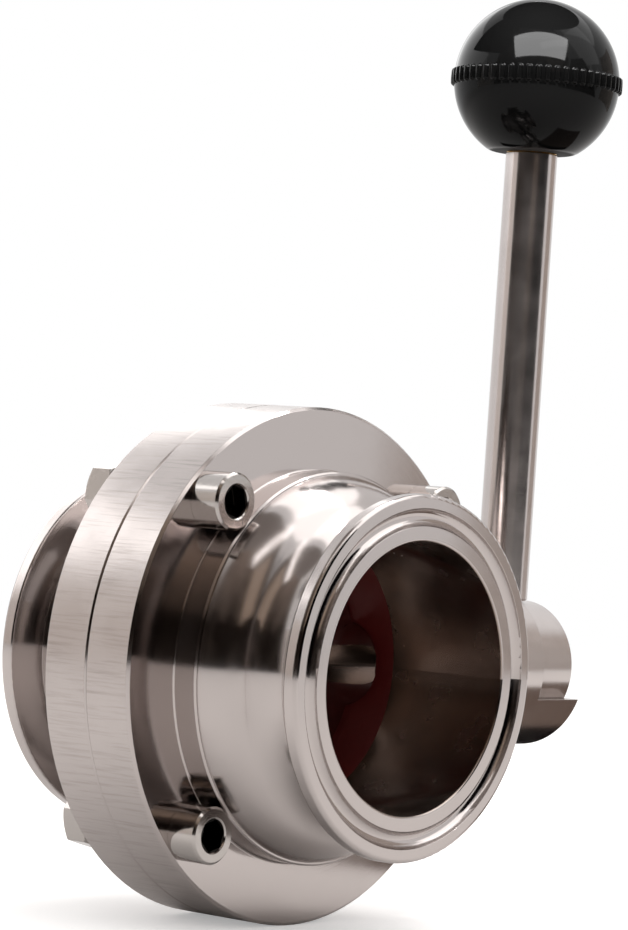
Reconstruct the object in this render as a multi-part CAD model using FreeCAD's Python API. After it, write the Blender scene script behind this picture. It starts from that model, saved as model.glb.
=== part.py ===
import FreeCAD, Part
import math
import os

# Sanitary butterfly valve for clamped 2 inch tube, in millimetres.
# Origin: centre of the near port, in the plane of its ferrule face, with the valve along +Y.
# X runs along the stem towards the handle, Y along the pipe, Z up along the handle rod.
# The valve is shut in this pose: the disc stands across the pipe.
# The pieces are drawn about the centre of the disc and moved to the origin at the end.

# Ferrules and bore; the other radii of the body are walls and steps outside the bore
bore_radius = 23.8
bore_edge_round = 0.4
neck_wall = 2.4
groove_wall = 4.2
ferrule_width = 8.2
ferrule_rim_thickness = 2.85
ferrule_back_angle = 20.0
ferrule_front_round = 0.8
ferrule_back_round = 0.5
half_length = 35.0
groove_section_radius = 1.6
groove_depth = 1.3

# Flanges, step and bell of each body half
flange_thickness = 10.0
flange_margin = 0.7
flange_edge_chamfer = 0.5
split_edge_chamfer = 0.3
pocket_wall = 1.8
step_height = 5.0
step_edge_chamfer = 0.3
step_root_fillet = 0.4
bell_foot_inset = 0.6
bell_foot_angle = 10.0
bell_lip_angle = 62.0
bell_lip_rise = 3.2

# Seat ring in its pocket
seat_width = 9.2
seat_half_width = 10.0
seat_clearance = 0.05
seat_crown = 0.5
seat_crown_half_width = 2.5
seat_corner_chamfer = 0.6

# Disc with its stem
disc_clearance = 0.07
disc_half_thickness = 6.0
disc_edge_half_thickness = 1.2
disc_edge_round = 0.3
boss_root_x = 7.0
boss_root_radius = 7.2
boss_tip_x = 20.0
stem_radius = 5.0
stem_square = 8.0
stem_square_length = 9.0
running_clearance = 0.06

# Bushes and stem rings
bush_housing_radius = 7.0
bush_clearance = 0.03
ring_clearance = 0.07
ring_side_gap = 0.15
inner_bush_length = 8.6
lower_bush_length = 6.5
end_gap = 0.3

# Side boss of the body, stop sleeve and hub
side_boss_radius = 9.8
side_boss_length = 10.0
sleeve_radius = 15.5
sleeve_fit_clearance = 0.03
sleeve_edge_chamfer = 0.5
sleeve_rim_gap = 0.3
hub_radius = 12.5
hub_clearance = 0.08
hub_length = 18.3
hub_edge_chamfer = 0.6
window_depth = 13.3
window_side_clearance = 0.6
washer_thickness = 1.1
washer_gap = 0.05

# Hub screw with its lock washer
hub_screw_radius = 2.5
hub_screw_head_radius = 4.25
hub_screw_head_height = 5.0
hub_screw_socket = 4.0
hub_screw_length = 12.0
hub_screw_hole_clearance = 0.25
hub_screw_recess_clearance = 0.5
hub_screw_head_below_end = 0.4
lock_washer_thickness = 1.1
lock_washer_split = 0.6

# Grub screws of the sleeve
grub_radius = 2.0
grub_length = 4.6
grub_socket = 2.0
grub_from_flange = 4.7
grub_spread_angle = 45.0

# Handle rod and ball knob
rod_radius = 5.0
rod_from_hub_end = 8.0
rod_thread_radius = 4.0
rod_hub_thread_length = 6.8
rod_knob_thread_length = 11.0
rod_edge_chamfer = 0.4
knob_centre_z = 112.8
knob_radius = 16.0
knob_flat_drop = 13.7
knob_band_radius = 16.6
knob_band_height = 3.2
knob_band_chamfer = 0.4
knob_flute_count = 56
knob_flute_radius = 0.5
insert_radius = 6.0
insert_length = 13.0
insert_collar_radius = 6.8
insert_collar_height = 1.2

# Flange screws and nuts
bolt_head_gap = 0.1
bolt_first_angle = 45.0
bolt_count = 4
bolt_radius = 3.0
bolt_hole_clearance = 0.2
bolt_head_radius = 5.0
bolt_head_height = 6.0
bolt_head_chamfer = 0.4
bolt_socket = 5.0
bolt_socket_depth = 3.0
bolt_socket_mouth = 0.25
nut_across_flats = 10.0
nut_height = 5.0
nut_chamfer_angle = 30.0
nut_turn = 30.0
thread_clearance = 0.03

# Sizes that follow from the driving ones
neck_radius = bore_radius + neck_wall
bell_lip_radius = neck_radius + bell_lip_rise
groove_centre_radius = bore_radius + groove_wall
ferrule_radius = bore_radius + ferrule_width
seat_outer_radius = bore_radius + seat_width
step_radius = seat_outer_radius + pocket_wall
bolt_circle_radius = step_radius + step_root_fillet + bolt_head_gap + bolt_head_radius
flange_radius = bolt_circle_radius + bolt_head_radius + flange_margin
nut_corner_radius = nut_across_flats / math.sqrt(3)
far_step_radius = bolt_circle_radius - nut_corner_radius - bolt_head_gap - step_root_fillet
step_top = flange_thickness + step_height
seat_inner_radius = bore_radius - seat_crown
disc_radius = seat_inner_radius - disc_clearance
stem_hole_radius = stem_radius + running_clearance
side_boss_end_x = flange_radius + side_boss_length
sleeve_start_x = flange_radius + sleeve_rim_gap
hub_start_x = side_boss_end_x + washer_thickness + 2 * washer_gap
hub_end_x = hub_start_x + hub_length
grub_x = sleeve_start_x + grub_from_flange
rod_x = hub_end_x - rod_from_hub_end
window_start_x = hub_end_x - window_depth
window_edge = rod_radius + window_side_clearance
ring_section_radius = 0.5 * (bush_housing_radius - stem_radius) - ring_clearance
ring_groove_length = 2 * (ring_section_radius + ring_side_gap)
inner_bush_start_x = seat_outer_radius + 0.5 * bush_clearance
inner_bush_end_x = inner_bush_start_x + inner_bush_length
outer_bush_start_x = inner_bush_end_x + ring_groove_length
lower_bush_start_x = seat_outer_radius + ring_groove_length
lower_bush_end_x = lower_bush_start_x + lower_bush_length
lower_housing_end_x = lower_bush_end_x + end_gap
stem_square_start_x = hub_start_x + end_gap
stem_end_x = stem_square_start_x + stem_square_length
lock_washer_end_x = hub_end_x - hub_screw_head_below_end - hub_screw_head_height
recess_floor_x = lock_washer_end_x - lock_washer_thickness
rod_foot_z = hub_radius
knob_base_z = knob_centre_z - knob_flat_drop

origin = FreeCAD.Vector(0, 0, 0)
x_axis = FreeCAD.Vector(1, 0, 0)
y_axis = FreeCAD.Vector(0, 1, 0)
z_axis = FreeCAD.Vector(0, 0, 1)


def vector(x, y, z):
    return FreeCAD.Vector(x, y, z)


def profile_point(radius, distance):
    """A point of a section that is turned about the pipe axis."""
    return vector(radius, -distance, 0)


def line(start, end):
    return Part.makeLine(start, end)


def arc(start, middle, end):
    return Part.Arc(start, middle, end).toShape()


def chain(points):
    """Straight edges through the points, left open."""
    return [line(a, b) for a, b in zip(points, points[1:])]


def turned(edges, axis):
    """A solid turned from a closed section about an axis through the origin."""
    face = Part.Face(Part.Wire(Part.__sortEdges__(edges)))
    return face.revolve(origin, axis, 360)


def turned_about_x(points):
    """A solid turned about the stem axis from (x, radius) corners."""
    corners = [vector(x, radius, 0) for x, radius in points]
    return turned(chain(corners + corners[:1]), x_axis)


def bar(start, direction, radius, length):
    return Part.makeCylinder(radius, length, start, direction)


def tube(start, direction, inner_radius, outer_radius, length):
    return bar(start, direction, outer_radius, length).cut(bar(start, direction, inner_radius, length))


def hexagon(centre, across_flats, normal, length, turn=0.0):
    """A six-sided prism; turn is the angle of its first flat about the normal."""
    corner_radius = across_flats / math.sqrt(3)
    sides = 6
    corners = []
    for k in range(sides):
        angle = math.radians(turn) + (2 * k + 1) * math.pi / sides
        corners.append(vector(corner_radius * math.cos(angle), corner_radius * math.sin(angle), 0))
    prism = Part.Face(Part.makePolygon(corners + corners[:1])).extrude(vector(0, 0, length))
    prism.Placement = FreeCAD.Placement(centre, FreeCAD.Rotation(z_axis, normal))
    return prism


def around_bolt_circle(solid):
    """Copies of a solid made at angle 0, one at each bolt of the flange."""
    copies = []
    for k in range(bolt_count):
        copy = solid.copy()
        copy.rotate(origin, y_axis, bolt_first_angle + 360.0 * k / bolt_count)
        copies.append(copy)
    return copies


def bell_edges(step_edge_radius):
    """Convex bell from the step to its lip, then a hollow sweep down to the neck."""
    foot_angle = math.radians(bell_foot_angle)
    lip_angle = math.radians(bell_lip_angle)
    foot_radius = step_edge_radius - bell_foot_inset
    # A turn from the foot angle to the lip angle that drops from the foot to the lip radius
    bell_radius = (foot_radius - bell_lip_radius) / (math.cos(foot_angle) - math.cos(lip_angle))
    lip_distance = step_top + bell_radius * (math.sin(lip_angle) - math.sin(foot_angle))
    middle_angle = 0.5 * (foot_angle + lip_angle)
    bell_middle = profile_point(
        foot_radius - bell_radius * (math.cos(foot_angle) - math.cos(middle_angle)),
        step_top + bell_radius * (math.sin(middle_angle) - math.sin(foot_angle)))
    foot = profile_point(foot_radius, step_top)
    lip = profile_point(bell_lip_radius, lip_distance)
    # The hollow sweep starts along the bell's own tangent and ends along the pipe axis
    sweep_radius = (bell_lip_radius - neck_radius) / (1 - math.cos(lip_angle))
    sweep_end = lip_distance + sweep_radius * math.sin(lip_angle)
    half_angle = 0.5 * lip_angle
    sweep_middle = profile_point(
        neck_radius + sweep_radius * (1 - math.cos(half_angle)),
        sweep_end - sweep_radius * math.sin(half_angle))
    neck_start = profile_point(neck_radius, sweep_end)
    return [arc(foot, bell_middle, lip), arc(lip, sweep_middle, neck_start)], foot, neck_start


def ferrule_edges(neck_start):
    """Neck, tapered back, rounded rim and flat face with its half-round groove."""
    rim_back = half_length - ferrule_rim_thickness
    slope = math.tan(math.radians(ferrule_back_angle))
    taper_radius = ferrule_radius - ferrule_back_round
    taper_start = profile_point(neck_radius, rim_back - slope * (taper_radius - neck_radius))
    taper_end = profile_point(taper_radius, rim_back)
    corner = math.sqrt(0.5)
    back_middle = profile_point(taper_radius + ferrule_back_round * corner,
                                rim_back + ferrule_back_round * (1 - corner))
    back_end = profile_point(ferrule_radius, rim_back + ferrule_back_round)
    front_start = profile_point(ferrule_radius, half_length - ferrule_front_round)
    front_radius = ferrule_radius - ferrule_front_round
    front_middle = profile_point(front_radius + ferrule_front_round * corner,
                                 half_length - ferrule_front_round * (1 - corner))
    front_end = profile_point(front_radius, half_length)
    # The groove's arc passes through its bottom; its centre lies off the face
    rise = groove_section_radius - groove_depth
    half_mouth = math.sqrt(groove_section_radius ** 2 - rise ** 2)
    groove_outer = profile_point(groove_centre_radius + half_mouth, half_length)
    groove_bottom = profile_point(groove_centre_radius, half_length - groove_depth)
    groove_inner = profile_point(groove_centre_radius - half_mouth, half_length)
    bore_face = profile_point(bore_radius + bore_edge_round, half_length)
    bore_middle = profile_point(bore_radius + bore_edge_round * (1 - corner),
                                half_length - bore_edge_round * (1 - corner))
    bore_start = profile_point(bore_radius, half_length - bore_edge_round)
    edges = [
        line(neck_start, taper_start),
        line(taper_start, taper_end),
        arc(taper_end, back_middle, back_end),
        line(back_end, front_start),
        arc(front_start, front_middle, front_end),
        line(front_end, groove_outer),
        arc(groove_outer, groove_bottom, groove_inner),
        line(groove_inner, bore_face),
        arc(bore_face, bore_middle, bore_start),
    ]
    return edges, bore_start


def flange_edges(step_edge_radius, foot):
    """Split face, rim, outer face and step, from the seat pocket to the foot of the bell."""
    root = step_edge_radius + step_root_fillet
    corner = math.sqrt(0.5)
    rim = chain([
        profile_point(seat_outer_radius, 0),
        profile_point(flange_radius - split_edge_chamfer, 0),
        profile_point(flange_radius, split_edge_chamfer),
        profile_point(flange_radius, flange_thickness - flange_edge_chamfer),
        profile_point(flange_radius - flange_edge_chamfer, flange_thickness),
        profile_point(root, flange_thickness),
    ])
    fillet = arc(
        profile_point(root, flange_thickness),
        profile_point(root - step_root_fillet * corner, flange_thickness + step_root_fillet * (1 - corner)),
        profile_point(step_edge_radius, flange_thickness + step_root_fillet))
    step = chain([
        profile_point(step_edge_radius, flange_thickness + step_root_fillet),
        profile_point(step_edge_radius, step_top - step_edge_chamfer),
        profile_point(step_edge_radius - step_edge_chamfer, step_top),
        foot,
    ])
    return rim + [fillet] + step


def turned_body_half(step_edge_radius):
    """The turned form of a body half, with its bore and seat pocket."""
    bell, foot, neck_start = bell_edges(step_edge_radius)
    ferrule, bore_start = ferrule_edges(neck_start)
    inside = chain([
        bore_start,
        profile_point(bore_radius, seat_half_width),
        profile_point(seat_outer_radius, seat_half_width),
        profile_point(seat_outer_radius, 0),
    ])
    return turned(flange_edges(step_edge_radius, foot) + bell + ferrule + inside, y_axis)


def side_boss_half():
    """Half of the round boss on the flange rim that carries the stop sleeve."""
    start_x = 0.5 * (seat_outer_radius + flange_radius)
    length = side_boss_end_x - start_x
    whole = bar(vector(start_x, 0, 0), x_axis, side_boss_radius, length)
    near_side = Part.makeBox(length, side_boss_radius, 2 * side_boss_radius,
                             vector(start_x, -side_boss_radius, -side_boss_radius))
    return whole.common(near_side)


def body_half(step_edge_radius):
    """A half of the body on the near side; the far half is made here too and mirrored."""
    half = turned_body_half(step_edge_radius).fuse(side_boss_half())
    stem_bore = bar(vector(0, 0, 0), x_axis, bush_housing_radius, side_boss_end_x)
    blind_bore = bar(vector(0, 0, 0), x_axis.negative(), bush_housing_radius, lower_housing_end_x)
    hole = bar(vector(bolt_circle_radius, 0, 0), y_axis.negative(),
               bolt_radius + bolt_hole_clearance, flange_thickness)
    return half.cut([stem_bore, blind_bore] + around_bolt_circle(hole))


def seat_ring():
    """Moulded ring: square back in the pocket, low crown towards the disc, a hole for the stem."""
    outer = seat_outer_radius - seat_clearance
    side = seat_half_width - seat_clearance
    section = chain([
        profile_point(seat_inner_radius, -seat_crown_half_width),
        profile_point(bore_radius, -side),
        profile_point(outer - seat_corner_chamfer, -side),
        profile_point(outer, -side + seat_corner_chamfer),
        profile_point(outer, side - seat_corner_chamfer),
        profile_point(outer - seat_corner_chamfer, side),
        profile_point(bore_radius, side),
        profile_point(seat_inner_radius, seat_crown_half_width),
        profile_point(seat_inner_radius, -seat_crown_half_width),
    ])
    stem_hole = bar(vector(-seat_outer_radius, 0, 0), x_axis, stem_hole_radius, 2 * seat_outer_radius)
    return turned(section, y_axis).cut(stem_hole)


def lens():
    """The disc itself: two domed faces that meet in a narrow rounded rim."""
    face_radius = disc_radius - disc_edge_round
    crown_near = vector(0, -disc_half_thickness, 0)
    crown_far = vector(0, disc_half_thickness, 0)
    edge_near = vector(face_radius, -disc_edge_half_thickness, 0)
    edge_far = vector(face_radius, disc_edge_half_thickness, 0)
    rise = disc_half_thickness - disc_edge_half_thickness
    dome_radius = (face_radius ** 2 + rise ** 2) / (2 * rise)
    half_way = 0.5 * face_radius
    dome_drop = dome_radius - math.sqrt(dome_radius ** 2 - half_way ** 2)
    middle_near = vector(half_way, -disc_half_thickness + dome_drop, 0)
    middle_far = vector(half_way, disc_half_thickness - dome_drop, 0)
    edges = [
        line(crown_far, crown_near),
        arc(crown_near, middle_near, edge_near),
        arc(edge_near, vector(disc_radius, 0, 0), edge_far),
        arc(edge_far, middle_far, crown_far),
    ]
    return turned(edges, y_axis)


def valve_disc():
    """Disc and stem in one piece: lens, tapered bosses, lower stub and long upper stem."""
    boss = turned_about_x([
        (-boss_tip_x, 0), (-boss_tip_x, stem_radius), (-boss_root_x, boss_root_radius),
        (boss_root_x, boss_root_radius), (boss_tip_x, stem_radius), (boss_tip_x, 0)])
    lower_stub = bar(vector(-lower_bush_end_x, 0, 0), x_axis, stem_radius, lower_bush_end_x)
    round_stem = bar(origin, x_axis, stem_radius, stem_square_start_x)
    square = Part.makeBox(stem_square_length, stem_square, stem_square,
                          vector(stem_square_start_x, -0.5 * stem_square, -0.5 * stem_square))
    square = square.common(bar(vector(stem_square_start_x, 0, 0), x_axis, stem_radius, stem_square_length))
    tapped_depth = hub_screw_length
    tapped_hole = bar(vector(stem_end_x - tapped_depth, 0, 0), x_axis,
                      hub_screw_radius + thread_clearance, tapped_depth)
    return lens().fuse([boss, lower_stub, round_stem, square]).cut(tapped_hole).removeSplitter()


def bush(start_x, end_x):
    outer = bush_housing_radius - bush_clearance
    return tube(vector(start_x, 0, 0), x_axis, stem_hole_radius, outer, end_x - start_x)


def stem_ring(groove_middle_x):
    """A round-section ring that fills the space between stem and housing."""
    middle_radius = 0.5 * (stem_radius + bush_housing_radius)
    return Part.makeTorus(middle_radius, ring_section_radius, vector(groove_middle_x, 0, 0), x_axis)


def stop_sleeve():
    """Sleeve on the side boss; its window lets the rod swing a quarter turn and stops it."""
    boss_bore = side_boss_radius + sleeve_fit_clearance
    hub_bore = hub_radius + hub_clearance
    chamfer = sleeve_edge_chamfer
    sleeve = turned_about_x([
        (sleeve_start_x, boss_bore), (sleeve_start_x, sleeve_radius - chamfer),
        (sleeve_start_x + chamfer, sleeve_radius), (hub_end_x - chamfer, sleeve_radius),
        (hub_end_x, sleeve_radius - chamfer), (hub_end_x, hub_bore),
        (side_boss_end_x, hub_bore), (side_boss_end_x, boss_bore)])
    # Upright rod at one side of the window, level rod at the other
    window = Part.makeBox(window_depth + chamfer, sleeve_radius + window_edge, sleeve_radius + window_edge,
                          vector(window_start_x, -sleeve_radius, -window_edge))
    holes = [bar(vector(grub_x, 0, 0), direction, grub_radius + thread_clearance, sleeve_radius)
             for direction in grub_directions()]
    return sleeve.cut([window] + holes)


def grub_directions():
    """Both grub screws press on the underside of the boss, one on each body half."""
    spread = math.radians(grub_spread_angle)
    return [vector(0, side * math.sin(spread), -math.cos(spread)) for side in (-1, 1)]


def grub_screws():
    screws = []
    for direction in grub_directions():
        seat = side_boss_radius + thread_clearance
        start = vector(grub_x, 0, 0) + direction * seat
        body = bar(start, direction, grub_radius, grub_length)
        socket_depth = 0.5 * grub_length
        socket_start = start + direction * (grub_length - socket_depth)
        screws.append(body.cut(hexagon(socket_start, grub_socket, direction, socket_depth)))
    return screws


def thrust_washer():
    return tube(vector(side_boss_end_x + washer_gap, 0, 0), x_axis, stem_hole_radius,
                hub_radius - sleeve_edge_chamfer, washer_thickness)


def handle_hub():
    """Round hub: square hole for the stem, recess for the screw, threaded hole for the rod."""
    chamfer = hub_edge_chamfer
    hub = turned_about_x([
        (hub_start_x, 0), (hub_start_x, hub_radius), (hub_end_x - chamfer, hub_radius),
        (hub_end_x, hub_radius - chamfer), (hub_end_x, 0)])
    side = stem_square + 2 * thread_clearance
    square_depth = stem_end_x + end_gap - hub_start_x
    square = Part.makeBox(square_depth, side, side, vector(hub_start_x, -0.5 * side, -0.5 * side))
    round_lead = bar(vector(hub_start_x, 0, 0), x_axis, stem_hole_radius, stem_square_start_x - hub_start_x)
    corners = bar(vector(hub_start_x, 0, 0), x_axis, stem_hole_radius, square_depth)
    screw_hole = bar(vector(hub_start_x, 0, 0), x_axis, hub_screw_radius + hub_screw_hole_clearance,
                     hub_end_x - hub_start_x)
    recess = bar(vector(recess_floor_x, 0, 0), x_axis, hub_screw_head_radius + hub_screw_recess_clearance,
                 hub_end_x - recess_floor_x)
    rod_hole = bar(vector(rod_x, 0, rod_foot_z - rod_hub_thread_length), z_axis,
                   rod_thread_radius + thread_clearance, rod_hub_thread_length)
    return hub.cut([square.common(corners), round_lead, screw_hole, recess, rod_hole])


def lock_washer():
    """Split spring washer under the head of the hub screw."""
    ring = tube(vector(recess_floor_x, 0, 0), x_axis, hub_screw_radius + thread_clearance,
                hub_screw_head_radius, lock_washer_thickness)
    split = Part.makeBox(lock_washer_thickness, lock_washer_split, hub_screw_head_radius,
                         vector(recess_floor_x, -0.5 * lock_washer_split, 0))
    return ring.cut(split)


def hub_screw():
    head_start = vector(lock_washer_end_x, 0, 0)
    shank_end_x = stem_end_x - hub_screw_length + end_gap
    head = bar(head_start, x_axis, hub_screw_head_radius, hub_screw_head_height)
    shank = bar(vector(shank_end_x, 0, 0), x_axis, hub_screw_radius, lock_washer_end_x - shank_end_x)
    socket_depth = 0.5 * hub_screw_head_height
    socket_x = lock_washer_end_x + hub_screw_head_height - socket_depth
    socket = hexagon(vector(socket_x, 0, 0), hub_screw_socket, x_axis, socket_depth)
    return head.fuse(shank).cut(socket)


def handle_rod():
    """Straight rod with a threaded spigot at each end."""
    chamfer = rod_edge_chamfer
    corners = [
        (0, rod_foot_z - rod_hub_thread_length), (rod_thread_radius, rod_foot_z - rod_hub_thread_length),
        (rod_thread_radius, rod_foot_z), (rod_radius - chamfer, rod_foot_z),
        (rod_radius, rod_foot_z + chamfer), (rod_radius, knob_base_z - chamfer),
        (rod_radius - chamfer, knob_base_z), (rod_thread_radius, knob_base_z),
        (rod_thread_radius, knob_base_z + rod_knob_thread_length), (0, knob_base_z + rod_knob_thread_length)]
    points = [vector(radius, 0, z) for radius, z in corners]
    rod = turned(chain(points + points[:1]), z_axis)
    rod.translate(vector(rod_x, 0, 0))
    return rod


def knob_band():
    """Raised band round the middle of the ball, cut by upright flutes."""
    half = 0.5 * knob_band_height
    inside = 0.5 * knob_radius
    corners = [
        (inside, -half), (knob_band_radius - knob_band_chamfer, -half),
        (knob_band_radius, -half + knob_band_chamfer), (knob_band_radius, half - knob_band_chamfer),
        (knob_band_radius - knob_band_chamfer, half), (inside, half)]
    points = [vector(radius, 0, z) for radius, z in corners]
    band = turned(chain(points + points[:1]), z_axis)
    flutes = []
    for k in range(knob_flute_count):
        angle = 2 * math.pi * k / knob_flute_count
        start = vector(knob_band_radius * math.cos(angle), knob_band_radius * math.sin(angle), -half)
        flutes.append(bar(start, z_axis, knob_flute_radius, knob_band_height))
    return band.cut(flutes)


def insert_corners(clearance):
    """Half section of the threaded insert and of the hole moulded round it."""
    return [
        (0, 0), (insert_radius + clearance, 0),
        (insert_radius + clearance, insert_length - insert_collar_height),
        (insert_collar_radius + clearance, insert_length - insert_collar_height),
        (insert_collar_radius + clearance, insert_length), (0, insert_length)]


def insert_blank(clearance):
    points = [vector(radius, 0, z) for radius, z in insert_corners(clearance)]
    blank = turned(chain(points + points[:1]), z_axis)
    blank.translate(vector(rod_x, 0, knob_base_z))
    return blank


def ball_knob():
    """Ball with a flat base, its fluted band, and the space for the threaded insert."""
    ball = Part.makeSphere(knob_radius)
    below = Part.makeBox(2 * knob_radius, 2 * knob_radius, knob_radius,
                         vector(-knob_radius, -knob_radius, -knob_flat_drop - knob_radius))
    knob = ball.cut(below).fuse(knob_band())
    knob.translate(vector(rod_x, 0, knob_centre_z))
    return knob.cut(insert_blank(thread_clearance))


def knob_insert():
    thread_hole = bar(vector(rod_x, 0, knob_base_z), z_axis, rod_thread_radius + thread_clearance,
                      rod_knob_thread_length + end_gap)
    return insert_blank(0).cut(thread_hole)


def flange_cap_screw():
    """Socket head screw at angle 0, with its head on the near flange."""
    chamfer = bolt_head_chamfer
    shank_end = flange_thickness + nut_height
    top = flange_thickness + bolt_head_height
    corners = [
        (0, -shank_end), (bolt_radius, -shank_end), (bolt_radius, flange_thickness),
        (bolt_head_radius, flange_thickness), (bolt_head_radius, top - chamfer),
        (bolt_head_radius - chamfer, top), (0, top)]
    points = [profile_point(radius, distance) for radius, distance in corners]
    screw = turned(chain(points + points[:1]), y_axis)
    socket_floor = vector(0, bolt_socket_depth - top, 0)
    socket = hexagon(socket_floor, bolt_socket, y_axis.negative(), bolt_socket_depth)
    corner_radius = bolt_socket / math.sqrt(3)
    mouth = Part.makeCone(corner_radius, corner_radius + bolt_socket_mouth, bolt_socket_mouth,
                          vector(0, bolt_socket_mouth - top, 0), y_axis.negative())
    screw = screw.cut([socket, mouth])
    screw.translate(vector(bolt_circle_radius, 0, 0))
    return screw


def flange_nut():
    """Hexagon nut at angle 0 on the far flange, a corner outwards, both ends chamfered."""
    start = vector(bolt_circle_radius, flange_thickness, 0)
    prism = hexagon(start, nut_across_flats, y_axis, nut_height, turn=nut_turn)
    flat_radius = 0.5 * nut_across_flats
    drop = (nut_corner_radius - flat_radius) * math.tan(math.radians(nut_chamfer_angle))
    corners = [
        (0, 0), (flat_radius, 0), (nut_corner_radius, drop),
        (nut_corner_radius, nut_height - drop), (flat_radius, nut_height), (0, nut_height)]
    points = [vector(radius, distance, 0) for radius, distance in corners]
    envelope = turned(chain(points + points[:1]), y_axis)
    envelope.translate(start)
    hole = bar(start, y_axis, bolt_radius + thread_clearance, nut_height)
    return prism.common(envelope).cut(hole)


def all_nodes():
    return {
        "body_half_front": body_half(step_radius),
        "body_half_rear": body_half(far_step_radius).mirror(origin, y_axis),
        "seat_ring": seat_ring(),
        "valve_disc": valve_disc(),
        "upper_inner_bush": bush(inner_bush_start_x, inner_bush_end_x),
        "upper_outer_bush": bush(outer_bush_start_x, side_boss_end_x),
        "lower_bush": bush(-lower_bush_end_x, -lower_bush_start_x),
        "upper_stem_ring": stem_ring(0.5 * (inner_bush_end_x + outer_bush_start_x)),
        "lower_stem_ring": stem_ring(-0.5 * (seat_outer_radius + lower_bush_start_x)),
        "stop_sleeve": stop_sleeve(),
        "sleeve_grub_screws": Part.makeCompound(grub_screws()),
        "thrust_washer": thrust_washer(),
        "handle_hub": handle_hub(),
        "hub_screw": hub_screw(),
        "hub_lock_washer": lock_washer(),
        "handle_rod": handle_rod(),
        "ball_knob": ball_knob(),
        "knob_insert": knob_insert(),
        "flange_cap_screws": Part.makeCompound(around_bolt_circle(flange_cap_screw())),
        "flange_nuts": Part.makeCompound(around_bolt_circle(flange_nut())),
    }


os.makedirs("parts", exist_ok=True)
for name, shape in all_nodes().items():
    if not shape.isValid():
        raise ValueError(name + " is not a valid solid")
    shape.translate(vector(0, half_length, 0))
    shape.exportStep("parts/" + name + ".step")
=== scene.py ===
"""Looks of a sanitary butterfly valve with a rod handle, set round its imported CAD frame.

The origin is the centre of the near port. +X is the stem axis towards the handle, +Y runs along the
pipe and +Z up along the handle rod. Lengths are metres.
"""

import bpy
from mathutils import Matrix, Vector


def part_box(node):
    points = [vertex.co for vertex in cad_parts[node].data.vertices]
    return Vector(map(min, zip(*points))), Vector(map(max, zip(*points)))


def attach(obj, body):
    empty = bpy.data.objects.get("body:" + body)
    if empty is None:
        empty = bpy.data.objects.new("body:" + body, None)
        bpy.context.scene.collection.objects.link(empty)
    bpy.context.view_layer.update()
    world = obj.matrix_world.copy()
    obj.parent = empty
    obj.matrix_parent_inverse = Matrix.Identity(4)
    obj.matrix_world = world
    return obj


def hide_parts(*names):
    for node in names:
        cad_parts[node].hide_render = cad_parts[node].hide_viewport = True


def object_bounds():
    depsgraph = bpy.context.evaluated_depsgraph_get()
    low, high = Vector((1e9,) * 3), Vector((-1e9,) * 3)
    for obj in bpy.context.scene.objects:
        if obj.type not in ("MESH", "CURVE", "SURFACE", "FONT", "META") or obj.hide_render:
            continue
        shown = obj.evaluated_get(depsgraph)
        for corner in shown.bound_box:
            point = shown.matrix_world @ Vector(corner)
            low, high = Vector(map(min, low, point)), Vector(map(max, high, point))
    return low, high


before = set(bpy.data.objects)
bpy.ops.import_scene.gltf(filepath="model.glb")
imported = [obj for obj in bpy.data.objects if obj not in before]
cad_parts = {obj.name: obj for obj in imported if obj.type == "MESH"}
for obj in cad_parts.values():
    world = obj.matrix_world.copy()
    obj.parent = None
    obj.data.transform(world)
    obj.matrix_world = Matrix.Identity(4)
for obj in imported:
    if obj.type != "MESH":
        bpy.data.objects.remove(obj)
cad_box = [list(corner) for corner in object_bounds()]

import math
import bpy
import numpy as np
from mathutils import Matrix, Vector

bl_info = {
    "name": "Sanitary butterfly valve",
    "version": (1, 0, 0),
    "blender": (4, 5, 0),
    "location": "View3D > Sidebar > Valve",
    "description": "Finishes, disc, ball knob and stage of a clamp ended butterfly valve",
    "category": "Object",
}

MM = 0.001
HANDLE = "handle_and_disc"
# Middle of the valve, where the axes of the pipe and the stem meet, and middle of the ball knob
CENTRE = Vector((0.0, 0.035, 0.0))
KNOB = Vector((0.0675, 0.035, 0.1128))
# Flange screws: how far their axes lie from the pipe's along x and z, and the size of their sockets
SCREW_ASIDE = 28.5 * MM
SOCKET_MIDDLE = 21.5 * MM
SOCKET_HALF_DEPTH = 2.3 * MM
SOCKET_RADIUS = 3.0 * MM
# Finest width over which one finish passes into the next; others are a few times as wide
SOFT_EDGE = 0.1 * MM
# Roundness that the Bevel node gives to the edges of turned pieces, and to those of screws and nuts
TURNED_EDGE = 0.15 * MM
HEADED_EDGE = 0.22 * MM
# Turn of an anisotropic highlight by a quarter of a circle
QUARTER = 0.25


def linear(code):
    """Turns an sRGB hex colour into linear red, green, blue and alpha."""
    steps = np.array([int(code[place:place + 2], 16) for place in (1, 3, 5)]) / 255
    values = np.where(steps <= 0.04045, steps / 12.92, ((steps + 0.055) / 1.055) ** 2.4)
    return (*values.tolist(), 1.0)


def colour(code, label, description):
    """A colour property whose default is an sRGB hex value."""
    return bpy.props.FloatVectorProperty(name=label, description=description, subtype="COLOR",
                                         size=4, min=0.0, max=1.0, default=linear(code))


def length(millimetres, label, description):
    """A length property whose default is given in millimetres."""
    return bpy.props.FloatProperty(name=label, description=description, subtype="DISTANCE",
                                   unit="LENGTH", min=0.0, default=millimetres * MM)


def share(value, label, description):
    """A property from 0 to 1, such as a roughness."""
    return bpy.props.FloatProperty(name=label, description=description, subtype="FACTOR",
                                   min=0.0, max=1.0, default=value)


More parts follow.
